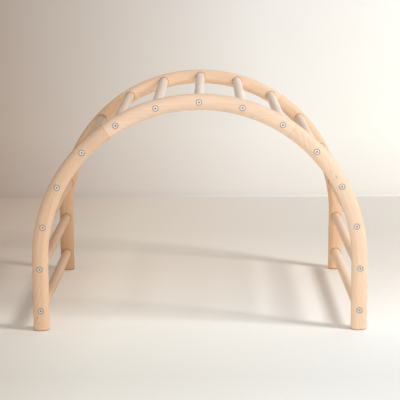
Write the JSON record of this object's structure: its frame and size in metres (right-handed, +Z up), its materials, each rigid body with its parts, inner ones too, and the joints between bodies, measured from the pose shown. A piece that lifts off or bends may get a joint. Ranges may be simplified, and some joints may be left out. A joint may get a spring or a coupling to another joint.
{
  "type": "climbing arch",
  "caption": "Free-standing wooden climbing arch for small children: two half-round rails on straight legs, joined by a curved ladder of round rungs held by bolts through the rails.",
  "frame": {"origin": "on the floor, midway between the four feet", "axes": "+Z up; X runs along the arch's span from the left feet to the right feet; Y runs across it, with the front rail at -Y and the rungs parallel to Y"},
  "size_m": [1.05, 0.864, 0.745],
  "materials": {
    "rail_wood": "sanded, clear matt lacquer",
    "rung_wood": "sanded, clear matt lacquer",
    "bolt_steel": "bright zinc plate",
    "insert_alloy": "plain zinc alloy",
    "dowel_wood": "raw"
  },
  "bodies": {
    "root": {"front_rail_left": "rail_wood", "front_rail_crown": "rail_wood", "front_rail_right": "rail_wood", "back_rail_left": "rail_wood", "back_rail_crown": "rail_wood", "back_rail_right": "rail_wood", "rung_01": "rung_wood", "rung_02": "rung_wood", "rung_03": "rung_wood", "rung_04": "rung_wood", "rung_05": "rung_wood", "rung_06": "rung_wood", "rung_07": "rung_wood", "rung_08": "rung_wood", "rung_09": "rung_wood", "rung_10": "rung_wood", "rung_11": "rung_wood", "rung_12": "rung_wood", "rung_13": "rung_wood", "rung_14": "rung_wood", "rung_15": "rung_wood", "front_bolts": "bolt_steel", "front_rung_inserts": "insert_alloy", "front_left_seam_dowels": "dowel_wood", "front_right_seam_dowels": "dowel_wood", "back_bolts": "bolt_steel", "back_rung_inserts": "insert_alloy", "back_left_seam_dowels": "dowel_wood", "back_right_seam_dowels": "dowel_wood"}
  },
  "joints": []
}
